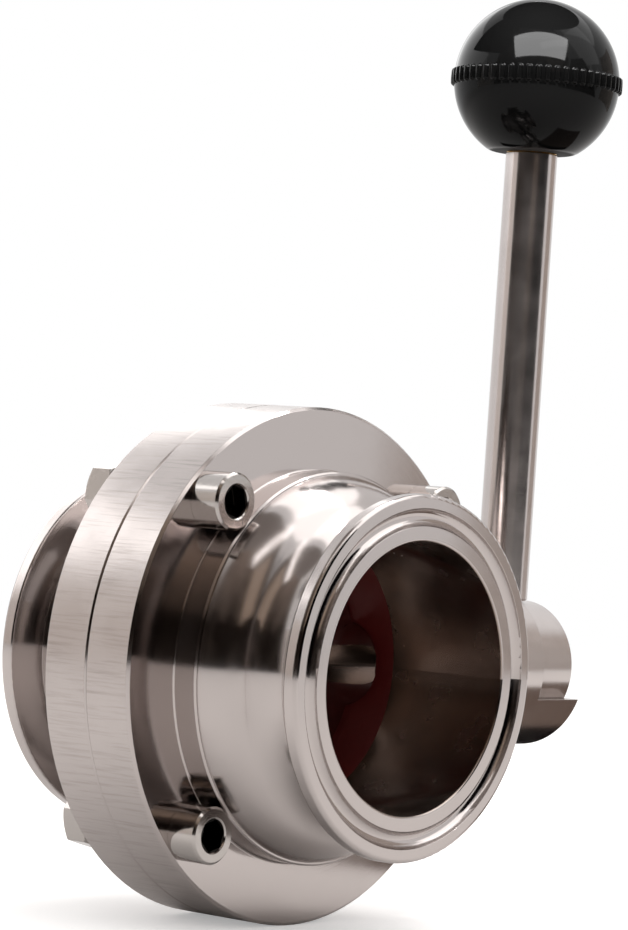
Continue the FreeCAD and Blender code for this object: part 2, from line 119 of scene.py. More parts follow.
class ValveSteelLook(bpy.types.PropertyGroup):
    """Colours and finishes of the steel pieces."""
    body: colour("#b6aeab", "Body steel", "Polished stainless steel of the body and disc")
    handle: colour("#bdb5b2", "Handle steel", "Satin stainless steel of the rod, hub and sleeve")
    screw: colour("#b0aaa6", "Screw steel", "Cold formed stainless steel of screws and nuts")
    streak: colour("#a59d99", "Rim streaks", "Darker polishing streaks on the flange rims")
    # Painted shade: the dark colour of the screws' sockets stands for the shade in these recesses
    socket_shade: colour("#1d1a18", "Sockets", "Dark residue in the screws' sockets")
    # Painted shade: the steel inside the bore is given this darker, browner colour than the body
    bore: colour("#8a7a70", "Bore steel", "Turned stainless steel inside the bore")
    face_roughness: share(0.08, "Face roughness", "Blur of the reflections in the flat faces")
    disc_roughness: share(0.07, "Disc roughness", "Blur of the reflections in the disc")
    bell_roughness: share(0.17, "Bell roughness", "Blur of the reflections in the bell, neck and ferrule")
    rim_roughness: share(0.22, "Rim roughness", "Blur of the reflections in the flange rims")
    bore_roughness: share(0.24, "Bore roughness", "Blur of the reflections inside the bore")
    rod_roughness: share(0.19, "Rod roughness", "Blur of the reflections in the rod")
    hub_roughness: share(0.2, "Hub roughness", "Blur of the reflections in the hub and sleeve")
    screw_roughness: share(0.13, "Screw roughness", "Blur of the reflections in the screws")
    streak_width: length(0.5, "Streak width", "Width of the polishing streaks on the flange rims")
    ring_width: length(0.3, "Ring width", "Width of the fine turning lines on the faces")


class ValvePlasticLook(bpy.types.PropertyGroup):
    """Colours and finishes of the knob, seat, bushes and rings."""
    knob: colour("#070707", "Knob", "Black moulded thermoset of the ball knob")
    seat: colour("#581615", "Seat", "Dark red silicone rubber of the seat ring")
    bush: colour("#dcd8cc", "Bushes", "Off white bearing plastic of the stem bushes")
    ring: colour("#171717", "Stem rings", "Black rubber of the stem rings")
    insert: colour("#c9a45c", "Insert", "Turned brass of the knob's thread insert")
    knob_roughness: share(0.06, "Knob roughness", "Blur of the reflections in the glossy knob")


class ValveKnobShape(bpy.types.PropertyGroup):
    """Sizes of the ribbed ball."""
    ribs: bpy.props.IntProperty(name="Ribs", description="Ribs round the ball", default=56, min=3)
    ball_radius: length(16, "Ball radius", "Radius of the ball without its ribs")
    band_half: length(1.6, "Band half height", "Half the height of the ribs")
    rib_half: length(0.52, "Rib half width", "Half the width of a rib")
    rib_height: length(0.6, "Rib height", "How far a rib stands off the ball")
    foot_round: length(1.0, "Foot round", "Round between the ball and its flat foot")
    foot_cover: length(0.12, "Foot cover", "How far the foot laps under the insert")
    hole_radius: length(5.01, "Hole radius", "Radius of the hole round the rod")
    pocket_gap: length(0.03, "Pocket gap", "Gap between the insert and its pocket")


class ValveDiscShape(bpy.types.PropertyGroup):
    """Sizes of the disc and stem."""
    disc_radius: length(23.2, "Disc radius", "Radius of the disc's rim")
    crown: length(6, "Crown", "Half the disc's thickness at its middle")
    edge_half: length(1.2, "Edge half thickness", "Half the disc's thickness at its rim")
    edge_round: length(0.3, "Edge round", "Round of the disc's rim")
    flare_start: length(8, "Flare start", "Distance from the middle where the bosses start to flare")
    boss_radius: length(4.9, "Boss radius", "Radius of a boss at its root")
    boss_flare: length(3.2, "Boss flare", "How much a boss grows up to the rim")
    blend_width: length(0.9, "Blend width", "Width of the soft corner between boss and lens")
    stem_radius: length(5, "Stem radius", "Radius of the stem")
    square_side: length(8, "Square side", "Width across the stem's square end")
    square_length: length(9, "Square length", "Length of the stem's square end")
    tapped_radius: length(2.53, "Tapped hole radius", "Radius of the hole for the hub screw")
    tapped_depth: length(12, "Tapped hole depth", "Depth of the hole for the hub screw")


class ValveStageLook(bpy.types.PropertyGroup):
    """Colours and sizes of the floor, cards and lamps."""
    floor: colour("#f0edeb", "Floor", "Pale matt floor")
    floor_fade_start: length(450, "Fade start", "Distance from the valve where the floor starts to whiten")
    floor_fade_end: length(1300, "Fade end", "Distance from the valve where the floor is white")


def add(tree, kind, inputs=None, **settings):
    """Adds one shader node with its settings, and joins or sets its inputs by name or number."""
    made = tree.nodes.new(kind)
    for name, value in settings.items():
        setattr(made, name, value)
    for name, value in (inputs or {}).items():
        if isinstance(value, bpy.types.NodeSocket):
            tree.links.new(value, made.inputs[name])
        else:
            made.inputs[name].default_value = value
    return made


def new_material(name):
    """An empty node material with its output node."""
    material = bpy.data.materials.new(name)
    material.use_nodes = True
    material.node_tree.nodes.clear()
    output = material.node_tree.nodes.new("ShaderNodeOutputMaterial")
    return material, material.node_tree, output


def per_metre(millimetres):
    """Pattern scale for a feature of that width: repeats per metre of Object coordinates."""
    return 1 / (millimetres * MM)


def round_about(tree, spot, axis, centre):
    """Adds the direction round an axis through a centre: the axis crossed with the way from the centre."""
    from_centre = add(tree, "ShaderNodeVectorMath", {0: spot, 1: centre}, operation="SUBTRACT")
    turn = add(tree, "ShaderNodeVectorMath", {0: axis, 1: from_centre.outputs[0]},
               operation="CROSS_PRODUCT")
    return add(tree, "ShaderNodeVectorMath", {0: turn.outputs[0]}, operation="NORMALIZE")


def polished_steel(name, colour_now, blurs, rim_from, bore_to, streak_depth):
    """Stainless bar, turned and then belt polished.

    The eye sees near mirror reflections that fine turning lines smear across their run, and fine
    streaks along the pipe on the flange rims, which come from the belt. The lines are a one-way noise
    of radius plus distance along the pipe, so they are circles about the pipe. The streaks are a noise
    of x and z, so they run along it. Both are drawn coarser than the real 0.05 mm scratches so that
    they show. The bore is only turned, so it is duller, and its darker, browner colour is painted shade
    inside the pipe. A surface is a face, rim or bore by how far its normal leans along the pipe and by
    its radius.

    blurs holds the roughness of the bell, faces, rims and bore. rim_from is the radius at which a
    rim starts and bore_to the one at which the bore ends.
    """
    look = bpy.context.scene.valve_steel
    material, tree, output = new_material(name)
    place = add(tree, "ShaderNodeTexCoord")
    spot = place.outputs["Object"]
    normal = add(tree, "ShaderNodeSeparateXYZ", {0: place.outputs["Normal"]})
    point = add(tree, "ShaderNodeSeparateXYZ", {0: spot})
    across = add(tree, "ShaderNodeVectorMath", {0: spot, 1: (1, 0, 1)}, operation="MULTIPLY")
    radius = add(tree, "ShaderNodeVectorMath", {0: across.outputs[0]}, operation="LENGTH")
    facing = add(tree, "ShaderNodeMath", {0: normal.outputs["Y"]}, operation="ABSOLUTE")
    on_face = add(tree, "ShaderNodeMapRange",
                  {"Value": facing.outputs[0], "From Min": 0.75, "From Max": 0.97})
    outside = add(tree, "ShaderNodeMapRange",
                  {"Value": radius.outputs["Value"], "From Min": rim_from - 4 * SOFT_EDGE,
                   "From Max": rim_from})
    off_face = add(tree, "ShaderNodeMapRange",
                   {"Value": facing.outputs[0], "From Min": 0.15, "From Max": 0.5,
                    "To Min": 1.0, "To Max": 0.0})
    on_rim = add(tree, "ShaderNodeMath", {0: outside.outputs[0], 1: off_face.outputs[0]},
                 operation="MULTIPLY")
    in_bore = add(tree, "ShaderNodeMapRange",
                  {"Value": radius.outputs["Value"], "From Min": bore_to,
                   "From Max": bore_to + 3 * SOFT_EDGE, "To Min": 1.0, "To Max": 0.0})
    along = add(tree, "ShaderNodeMath", {0: radius.outputs["Value"], 1: point.outputs["Y"]}, operation="ADD")
    lines = add(tree, "ShaderNodeTexNoise",
                {"W": along.outputs[0], "Scale": 1 / look.ring_width, "Detail": 3.0, "Roughness": 0.6},
                noise_dimensions="1D")
    drawn = add(tree, "ShaderNodeVectorMath", {0: spot, 1: (1, 0.04, 1)}, operation="MULTIPLY")
    streaks = add(tree, "ShaderNodeTexNoise",
                  {"Vector": drawn.outputs[0], "Scale": 1 / look.streak_width,
                   "Detail": 4.0, "Roughness": 0.6})
    height = add(tree, "ShaderNodeMix",
                 {0: on_rim.outputs[0], 2: lines.outputs["Fac"], 3: streaks.outputs["Fac"]})
    deep = add(tree, "ShaderNodeMapRange",
               {"Value": on_rim.outputs[0], "To Min": 0.06, "To Max": streak_depth})
    edge = add(tree, "ShaderNodeBevel", {"Radius": TURNED_EDGE}, samples=4)
    bump = add(tree, "ShaderNodeBump", {"Strength": deep.outputs[0], "Distance": 0.05 * MM,
                                        "Height": height.outputs[0], "Normal": edge.outputs[0]})
    smudges = add(tree, "ShaderNodeTexNoise",
                  {"Vector": spot, "Scale": per_metre(7), "Detail": 4.0, "Roughness": 0.55})
    uneven = add(tree, "ShaderNodeMapRange",
                 {"Value": smudges.outputs["Fac"], "From Min": 0.3, "From Max": 0.7,
                  "To Min": 0.8, "To Max": 1.2})
    smooth = add(tree, "ShaderNodeMapRange",
                 {"Value": on_face.outputs[0], "To Min": blurs[0], "To Max": blurs[1]})
    on_rims = add(tree, "ShaderNodeMix", {0: on_rim.outputs[0], 2: smooth.outputs[0], 3: blurs[2]})
    all_over = add(tree, "ShaderNodeMix", {0: in_bore.outputs[0], 2: on_rims.outputs[0], 3: blurs[3]})
    blur = add(tree, "ShaderNodeMath", {0: all_over.outputs[0], 1: uneven.outputs[0]}, operation="MULTIPLY")
    worn = add(tree, "ShaderNodeMapRange",
               {"Value": streaks.outputs["Fac"], "From Min": 0.5, "From Max": 0.72})
    dull = add(tree, "ShaderNodeMath", {0: worn.outputs[0], 1: on_rim.outputs[0]}, operation="MULTIPLY")
    streaked = add(tree, "ShaderNodeMix", {0: dull.outputs[0], 6: colour_now, 7: look.streak},
                   data_type="RGBA")
    # Painted shade: inside the bore the steel takes the darker, browner bore colour
    tone = add(tree, "ShaderNodeMix", {0: in_bore.outputs[0], 6: streaked.outputs[2], 7: look.bore},
               data_type="RGBA")
    turning = round_about(tree, spot, (0, 1, 0), tuple(CENTRE))
    smear = add(tree, "ShaderNodeMapRange", {"Value": on_rim.outputs[0], "To Min": QUARTER, "To Max": 0.0})
    metal = add(tree, "ShaderNodeBsdfPrincipled",
                {"Base Color": tone.outputs[2], "Metallic": 1.0, "Roughness": blur.outputs[0],
                 "Anisotropic": 0.85, "Anisotropic Rotation": smear.outputs[0],
                 "Tangent": turning.outputs[0], "Normal": bump.outputs[0]})
    tree.links.new(metal.outputs[0], output.inputs[0])
    return material


def satin_steel(name, axis, centre, blur):
    """Stainless bar, ground or turned about its own axis to a satin finish.

    The eye sees soft stripes along the bar, smeared by lines round it that are too fine to show. The
    lines are a one-way noise of the distance along the axis.
    """
    look = bpy.context.scene.valve_steel
    material, tree, output = new_material(name)
    spot = add(tree, "ShaderNodeTexCoord").outputs["Object"]
    along = add(tree, "ShaderNodeVectorMath", {0: spot, 1: axis}, operation="DOT_PRODUCT")
    lines = add(tree, "ShaderNodeTexNoise",
                {"W": along.outputs["Value"], "Scale": 1 / look.ring_width,
                 "Detail": 3.0, "Roughness": 0.6},
                noise_dimensions="1D")
    smudges = add(tree, "ShaderNodeTexNoise",
                  {"Vector": spot, "Scale": per_metre(6), "Detail": 4.0, "Roughness": 0.6})
    edge = add(tree, "ShaderNodeBevel", {"Radius": TURNED_EDGE}, samples=4)
    bump = add(tree, "ShaderNodeBump",
               {"Strength": 0.12, "Distance": 0.02 * MM, "Height": lines.outputs["Fac"],
                "Normal": edge.outputs[0]})
    uneven = add(tree, "ShaderNodeMapRange",
                 {"Value": smudges.outputs["Fac"], "From Min": 0.3, "From Max": 0.7,
                  "To Min": blur * 0.85, "To Max": blur * 1.15})
    turning = round_about(tree, spot, axis, centre)
    metal = add(tree, "ShaderNodeBsdfPrincipled",
                {"Base Color": look.handle, "Metallic": 1.0, "Roughness": uneven.outputs[0],
                 "Anisotropic": 0.7, "Anisotropic Rotation": QUARTER, "Tangent": turning.outputs[0],
                 "Normal": bump.outputs[0]})
    tree.links.new(metal.outputs[0], output.inputs[0])
    return material


def screw_steel():
    """Stainless wire, cold headed and tumbled.

    The eye sees slightly blurred reflections, a mottled grey and faint dents from tumbling. The sockets
    are painted dark as the shade in their recesses: all that lies within their radius of a screw's axis
    and below its face. The four screws are alike about the pipe, so the place is folded into one quarter
    first.
    """
    look = bpy.context.scene.valve_steel
    material, tree, output = new_material("stainless_steel_cold_headed")
    spot = add(tree, "ShaderNodeTexCoord").outputs["Object"]
    dents = add(tree, "ShaderNodeTexNoise",
                {"Vector": spot, "Scale": per_metre(0.8), "Detail": 4.0, "Roughness": 0.6})
    folded = add(tree, "ShaderNodeVectorMath", {0: spot}, operation="ABSOLUTE")
    from_axis = add(tree, "ShaderNodeVectorMath", {0: folded.outputs[0], 1: (SCREW_ASIDE, 0, SCREW_ASIDE)},
                    operation="SUBTRACT")
    flat = add(tree, "ShaderNodeVectorMath", {0: from_axis.outputs[0], 1: (1, 0, 1)}, operation="MULTIPLY")
    off = add(tree, "ShaderNodeVectorMath", {0: flat.outputs[0]}, operation="LENGTH")
    parts = add(tree, "ShaderNodeSeparateXYZ", {0: spot})
    depth = add(tree, "ShaderNodeMath", {0: parts.outputs["Y"], 1: SOCKET_MIDDLE, 2: SOCKET_HALF_DEPTH},
                operation="COMPARE")
    inside = add(tree, "ShaderNodeMapRange",
                 {"Value": off.outputs["Value"], "From Min": SOCKET_RADIUS - SOFT_EDGE,
                  "From Max": SOCKET_RADIUS + SOFT_EDGE, "To Min": 1.0, "To Max": 0.0})
    # Painted shade: the socket's recess is coloured dark
    socket_shade_mask = add(tree, "ShaderNodeMath", {0: depth.outputs[0], 1: inside.outputs[0]}, operation="MULTIPLY")
    tone = add(tree, "ShaderNodeMix", {0: socket_shade_mask.outputs[0], 6: look.screw, 7: look.socket_shade},
               data_type="RGBA")
    edge = add(tree, "ShaderNodeBevel", {"Radius": HEADED_EDGE}, samples=4)
    bump = add(tree, "ShaderNodeBump",
               {"Strength": 0.2, "Distance": 0.03 * MM, "Height": dents.outputs["Fac"],
                "Normal": edge.outputs[0]})
    blur = add(tree, "ShaderNodeMapRange",
               {"Value": dents.outputs["Fac"], "From Min": 0.3, "From Max": 0.7,
                "To Min": look.screw_roughness * 0.7, "To Max": look.screw_roughness * 1.4})
    metal = add(tree, "ShaderNodeBsdfPrincipled",
                {"Base Color": tone.outputs[2], "Metallic": 1.0, "Roughness": blur.outputs[0],
                 "Normal": bump.outputs[0]})
    tree.links.new(metal.outputs[0], output.inputs[0])
    return material


def knob_thermoset():
    """Phenolic resin, pressed in a polished mould.

    The eye sees sharp reflections in deep black, with faint tumbling scratches in the gloss. The flat
    foot, whose normal points down, is dull.
    """
    look = bpy.context.scene.valve_plastic
    material, tree, output = new_material("phenolic_moulded_black")
    place = add(tree, "ShaderNodeTexCoord")
    spot = place.outputs["Object"]
    scuffs = add(tree, "ShaderNodeTexNoise",
                 {"Vector": spot, "Scale": per_metre(3), "Detail": 6.0, "Roughness": 0.7})
    blur = add(tree, "ShaderNodeMapRange",
               {"Value": scuffs.outputs["Fac"], "From Min": 0.35, "From Max": 0.7,
                "To Min": look.knob_roughness * 0.8, "To Max": look.knob_roughness * 1.8})
    normal = add(tree, "ShaderNodeSeparateXYZ", {0: place.outputs["Normal"]})
    foot = add(tree, "ShaderNodeMapRange",
               {"Value": normal.outputs["Z"], "From Min": -0.93, "From Max": -0.99})
    rough = add(tree, "ShaderNodeMix", {0: foot.outputs[0], 2: blur.outputs[0], 3: 0.6})
    bump = add(tree, "ShaderNodeBump",
               {"Strength": 0.05, "Distance": 0.05 * MM, "Height": scuffs.outputs["Fac"]})
    resin = add(tree, "ShaderNodeBsdfPrincipled",
                {"Base Color": look.knob, "Roughness": rough.outputs[0], "IOR": 1.5,
                 "Specular IOR Level": 0.1, "Normal": bump.outputs[0]})
    tree.links.new(resin.outputs[0], output.inputs[0])
    return material


def moulded(name, base, rough, ior, grain_mm):
    """A moulded rubber or plastic: one colour with a slight mottle and a fine skin grain.

    The eye sees an even matt skin whose sheen breaks up a little.
    """
    material, tree, output = new_material(name)
    spot = add(tree, "ShaderNodeTexCoord").outputs["Object"]
    grain = add(tree, "ShaderNodeTexNoise",
                {"Vector": spot, "Scale": per_metre(grain_mm), "Detail": 4.0})
    tone = add(tree, "ShaderNodeHueSaturation",
               {"Value": add(tree, "ShaderNodeMapRange", {"Value": grain.outputs["Fac"], "To Min": 0.85,
                                                          "To Max": 1.15}).outputs[0], "Color": base})
    bump = add(tree, "ShaderNodeBump",
               {"Strength": 0.2, "Distance": 0.05 * MM, "Height": grain.outputs["Fac"]})
    skin = add(tree, "ShaderNodeBsdfPrincipled",
               {"Base Color": tone.outputs[0], "Roughness": rough, "IOR": ior, "Normal": bump.outputs[0]})
    tree.links.new(skin.outputs[0], output.inputs[0])
    return material


def turned_brass():
    """Brass rod, turned. The eye sees warm yellow reflections cut by fine rings."""
    look = bpy.context.scene.valve_plastic
    material, tree, output = new_material("brass_turned")
    spot = add(tree, "ShaderNodeTexCoord").outputs["Object"]
    rings = add(tree, "ShaderNodeTexNoise",
                {"Vector": spot, "Scale": per_metre(0.4), "Detail": 2.0})
    bump = add(tree, "ShaderNodeBump",
               {"Strength": 0.2, "Distance": 0.03 * MM, "Height": rings.outputs["Fac"]})
    metal = add(tree, "ShaderNodeBsdfPrincipled",
                {"Base Color": look.insert, "Metallic": 1.0, "Roughness": 0.22, "Normal": bump.outputs[0]})
    tree.links.new(metal.outputs[0], output.inputs[0])
    return material


def dress(material, *names):
    """Gives CAD nodes this material in every slot."""
    for name in names:
        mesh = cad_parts[name].data
        mesh.materials.clear()
        mesh.materials.append(material)


class VALVE_OT_body(bpy.types.Operator):
    """Finishes the two body halves in polished steel"""
    bl_idname = "valve.body"
    bl_label = "Body halves"

    def execute(self, context):
        look = context.scene.valve_steel
        blurs = (look.bell_roughness, look.face_roughness, look.rim_roughness, look.bore_roughness)
        rim = abs(cad_box[0][2]) - 0.5 * MM
        bore = 23.8 * MM
        dress(polished_steel("stainless_steel_turned_and_belt_polished", look.body, blurs, rim, bore, 0.28),
              "body_half_front", "body_half_rear")
        return {"FINISHED"}


class VALVE_OT_handle(bpy.types.Operator):
    """Finishes the rod, hub and stop sleeve in satin steel"""
    bl_idname = "valve.handle"
    bl_label = "Handle and sleeve"

    def execute(self, context):
        look = context.scene.valve_steel
        low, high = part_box("handle_rod")
        middle = tuple((low + high) / 2)
        dress(satin_steel("stainless_steel_ground_satin", (0, 0, 1), middle, look.rod_roughness),
              "handle_rod")
        dress(satin_steel("stainless_steel_turned_satin", (1, 0, 0), tuple(CENTRE), look.hub_roughness),
              "handle_hub", "stop_sleeve")
        return {"FINISHED"}


def closed_skin(name, rings):
    """A smooth closed skin over rings of points, rows by columns by xyz.

    Each row is one turn round the piece, so its last point joins its first. The first and the last
    row have shrunk to points, which become the two poles. Corners over 50 degrees stay sharp.
    """
    rows, columns = rings.shape[:2]
    number = 1 + np.arange((rows - 2) * columns).reshape(rows - 2, columns)
    after = np.roll(number, -1, axis=1)
    quads = np.stack([number[:-1], number[1:], after[1:], after[:-1]], -1).reshape(-1, 4)
    first = np.stack([np.zeros(columns, int), number[0], after[0]], -1)
    last = np.stack([np.full(columns, number[-1, -1] + 1), after[-1], number[-1]], -1)
    points = np.concatenate([rings[0, :1], rings[1:-1].reshape(-1, 3), rings[-1, :1]])
    mesh = bpy.data.meshes.new(name)
    mesh.from_pydata(points.tolist(), [], first.tolist() + quads.tolist() + last.tolist())
    mesh.update()
    mesh.shade_smooth()
    mesh.set_sharp_from_angle(angle=math.radians(50))
    made = bpy.data.objects.new(name, mesh)
    bpy.context.scene.collection.objects.link(made)
    return made


def stand_in(piece, material, slot, *nodes):
    """Gives a moving piece its material, and lets it stand for those CAD nodes. The slot is not used."""
    piece.data.materials.append(material)
    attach(piece, HANDLE)
    if nodes:
        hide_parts(*nodes)


def flared_disc(shape):
    """The disc: a lens with two bosses round the stem that flare towards its rim.

    Its half thickness is a height over the disc plane, on rings that crowd towards the rim. The lens
    is a spherical cap that ends in a rounded edge. A boss is a half round across the stem, whose
    radius grows with the 1.4th power of the distance past its root, cut by a sphere so that it can
    turn in the seat. The two are joined by a soft maximum: half their sum plus half the root of their
    squared difference and a squared blend width. The columns crowd towards the stem, where the bosses
    are.
    """
    size = shape.disc_radius
    edge = size - shape.edge_round
    rise = shape.crown - shape.edge_half
    dome = (edge ** 2 + rise ** 2) / (2 * rise)
    step = np.linspace(0, math.pi / 2, 58)
    radius = size * np.sin(step)[:, None]
    even = np.linspace(0, 2 * math.pi, 540, endpoint=False)
    crowding = 0.35
    turn = even - crowding * np.sin(2 * even)
    x, z = radius * np.cos(turn), radius * np.sin(turn)
    cap = shape.crown - dome + np.sqrt(dome ** 2 - np.minimum(radius, edge) ** 2)
    past = np.clip((radius - edge) / shape.edge_round, 0, 1)
    cap = cap * np.sqrt(1 - past ** 2)
    out = np.clip(np.abs(x) - shape.flare_start, 0, None) / (size - shape.flare_start)
    boss = shape.boss_radius + shape.boss_flare * out ** 1.4
    bulge = np.sqrt(np.clip(boss ** 2 - z ** 2, 0, None))
    bulge = np.minimum(bulge, np.sqrt(np.clip(size ** 2 - radius ** 2, 0, None)))
    blend = shape.blend_width * np.cos(step)[:, None]
    height = (cap + bulge + np.sqrt((cap - bulge) ** 2 + blend ** 2)) / 2
    height[-1] = 0
    near = np.stack([x, -height, z], -1)
    far = np.stack([x, height, z], -1)[-2::-1]
    return closed_skin("flared_disc", np.concatenate([near, far]) + np.array(CENTRE))


def squared_stem(shape):
    """The stem: a round bar whose handle end is squared, with a tapped hole for the hub screw.

    Its section is a radius over the angle round the stem: the bar's own radius, and on the square the
    smaller of that and half the square's side over the larger of the angle's cosine and sine.
    """
    low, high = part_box("valve_disc")
    turn = np.linspace(0, 2 * math.pi, 96, endpoint=False)
    wide = np.full_like(turn, shape.stem_radius)
    square = np.minimum(wide, shape.square_side / 2 / np.maximum(np.abs(np.cos(turn)), np.abs(np.sin(turn))))
    tapped = np.full_like(turn, shape.tapped_radius)
    shut = np.zeros_like(turn)
    start = high[0] - shape.square_length
    floor = high[0] - shape.tapped_depth
    radius = np.stack([shut, tapped, tapped, square, square, wide, wide, shut])
    along = np.array([floor, floor, high[0], high[0], start, start, low[0], low[0]])[:, None]
    rings = np.stack([np.broadcast_to(along, radius.shape), CENTRE[1] + radius * np.cos(turn),
                      radius * np.sin(turn)], -1)
    return closed_skin("squared_stem", rings)


class VALVE_OT_disc(bpy.types.Operator):
    """Builds the flared disc and its stem in mirror polished steel"""
    bl_idname = "valve.disc"
    bl_label = "Disc and stem"

    def execute(self, context):
        look = context.scene.valve_steel
        shape = context.scene.valve_disc
        blurs = (look.disc_roughness,) * 4
        # No rim or bore lies within reach, so the disc is polished alike all over
        mirror = polished_steel("stainless_steel_mirror_polished", look.body, blurs, 1.0, 0.0, 0.1)
        stand_in(flared_disc(shape), mirror, "disc_steel", "valve_disc")
        stand_in(squared_stem(shape), mirror, "disc_steel")
        return {"FINISHED"}


def ribbed_ball(shape):
    """The ball: a sphere cut flat at its foot, with a band of upright ribs round its middle.

    Half a section is carried round the rod's axis: the circle by its angle from the top, a quadratic
    round at the foot, the flat foot, the rod's hole and the pocket of the insert. On the band the
    radius grows by the rib height times one less the fourth power of the distance to the nearest rib's
    middle line over the rib's half width, so ribs have steep sides and round ends. The rows that draw
    the band reach a little past it, and each rib has twelve columns.
    """
    low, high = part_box("ball_knob")
    insert_low, insert_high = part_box("knob_insert")
    radius = shape.ball_radius
    centre = (low + high) / 2
    centre[2] = high[2] - radius
    drop = centre[2] - low[2] + shape.foot_cover
    foot = math.acos(-drop / radius)
    margin = 1.06
    band = math.asin(shape.band_half / radius) * margin
    angle = np.concatenate([np.linspace(0, math.pi / 2 - band, 26)[:-1],
                            np.linspace(math.pi / 2 - band, math.pi / 2 + band, 34),
                            np.linspace(math.pi / 2 + band, foot - shape.foot_round / radius, 20)[1:]])
    bend = np.linspace(0, 1, 8)[1:]
    round_reach = 1.6
    edge = radius * math.sin(foot) - round_reach * shape.foot_round
    ends = np.array([[radius * math.sin(angle[-1]), radius * math.cos(angle[-1])],
                     [radius * math.sin(foot), -drop], [edge, -drop]])
    weights = np.stack([(1 - bend) ** 2, 2 * bend * (1 - bend), bend ** 2], -1)
    pocket = (insert_high[0] - insert_low[0]) / 2 + shape.pocket_gap
    roof = insert_high[2] - centre[2] + shape.pocket_gap
    hole = shape.hole_radius
    ledge = insert_low[2] - centre[2] - shape.pocket_gap
    section = np.concatenate([
        np.stack([radius * np.sin(angle), radius * np.cos(angle)], -1), weights @ ends,
        np.array([[(edge + hole) / 2, -drop], [hole, -drop], [hole, ledge], [pocket, ledge],
                  [pocket, roof], [0, roof]])])
    columns_per_rib = 12
    turn = np.linspace(0, 2 * math.pi, shape.ribs * columns_per_rib, endpoint=False)
    pitch = 2 * math.pi / shape.ribs
    aside = ((turn + pitch / 2) % pitch - pitch / 2) * radius
    beyond = np.maximum(np.abs(section[:, 1]) - (shape.band_half - shape.rib_half), 0)
    away = np.hypot(aside[None, :], beyond[:, None]) / shape.rib_half
    outer = section[:, 0, None] + shape.rib_height * np.clip(1 - away ** 4, 0, 1)
    outer = np.where(section[:, 0, None] > radius / 2, outer, section[:, 0, None])
    rings = np.stack([centre[0] + outer * np.cos(turn), centre[1] + outer * np.sin(turn),
                      np.broadcast_to(centre[2] + section[:, 1, None], outer.shape)], -1)
    return closed_skin("ribbed_ball", rings)


class VALVE_OT_knob(bpy.types.Operator):
    """Builds the ribbed ball of the knob and finishes its insert"""
    bl_idname = "valve.knob"
    bl_label = "Ball knob"

    def execute(self, context):
        ball = ribbed_ball(context.scene.valve_knob)
        stand_in(ball, knob_thermoset(), "knob_plastic", "ball_knob")
        dress(turned_brass(), "knob_insert")
        return {"FINISHED"}


class VALVE_OT_seals(bpy.types.Operator):
    """Finishes the seat ring, stem rings and bushes"""
    bl_idname = "valve.seals"
    bl_label = "Seat, rings and bushes"

    def execute(self, context):
        look = context.scene.valve_plastic
        dress(moulded("silicone_rubber_moulded", look.seat, 0.42, 1.43, 1.2), "seat_ring")
        dress(moulded("nitrile_rubber_moulded", look.ring, 0.5, 1.5, 0.6),
              "upper_stem_ring", "lower_stem_ring")
        dress(moulded("bearing_plastic_turned", look.bush, 0.4, 1.4, 0.8),
              "upper_inner_bush", "upper_outer_bush", "lower_bush")
        return {"FINISHED"}


class VALVE_OT_fasteners(bpy.types.Operator):
    """Finishes the screws, nuts and washers"""
    bl_idname = "valve.fasteners"
    bl_label = "Screws, nuts and washers"

    def execute(self, context):
        dress(screw_steel(), "flange_cap_screws", "flange_nuts", "sleeve_grub_screws", "thrust_washer",
              "hub_screw", "hub_lock_washer")
        return {"FINISHED"}


def direction(azimuth, elevation):
    """Unit vector with that azimuth from -Y towards +X and that elevation, in degrees."""
    a, e = math.radians(azimuth), math.radians(elevation)
    return Vector((math.sin(a) * math.cos(e), -math.cos(a) * math.cos(e), math.sin(e)))


def grid_mesh(name, points):
    """A mesh of four-cornered faces over a grid of points, rows by columns by xyz."""
    rows, columns = points.shape[:2]
    number = np.arange(rows * columns).reshape(rows, columns)
    corners = np.stack([number[:-1, :-1], number[:-1, 1:], number[1:, 1:], number[1:, :-1]], -1)
    mesh = bpy.data.meshes.new(name)
    mesh.from_pydata(points.reshape(-1, 3).tolist(), [], corners.reshape(-1, 4).tolist())
    mesh.update()
    made = bpy.data.objects.new(name, mesh)
    bpy.context.scene.collection.objects.link(made)
    return made


def hide_but_mirror(made, material):
    """Makes a card part of the stage that only glossy surfaces see."""
    made.data.materials.append(material)
    made.visible_camera = False
    made.visible_shadow = False
    made.visible_diffuse = False


def card(name, low, high, elevations, distance, material, about=CENTRE):
    """A matt card on a sphere about the valve or the knob, mirrored but not seen, without a shadow.

    Its azimuth runs from the low pair at its foot to the high pair at its top, in equal steps of
    elevation, so its sides may slope.
    """
    across, rise = np.meshgrid(np.linspace(0, 1, 33), np.linspace(0, 1, 17))
    left = low[0] + (high[0] - low[0]) * rise
    right = low[1] + (high[1] - low[1]) * rise
    a = np.radians(left + (right - left) * across)
    e = np.radians(elevations[0] + (elevations[1] - elevations[0]) * rise)
    unit = np.stack([np.sin(a) * np.cos(e), -np.cos(a) * np.cos(e), np.sin(e)], -1)
    hide_but_mirror(grid_mesh(name, unit * distance + np.array(about)), material)


def low_card(name, across, along, height, material):
    """A matt card that lies flat, mirrored by the steel above it; it stands in for the valve's shadow on the
    floor, a painted shadow.
    """
    x, y = np.meshgrid(np.linspace(*across, 4), np.linspace(*along, 4))
    hide_but_mirror(grid_mesh(name, np.stack([x, y, np.full_like(x, height)], -1)), material)


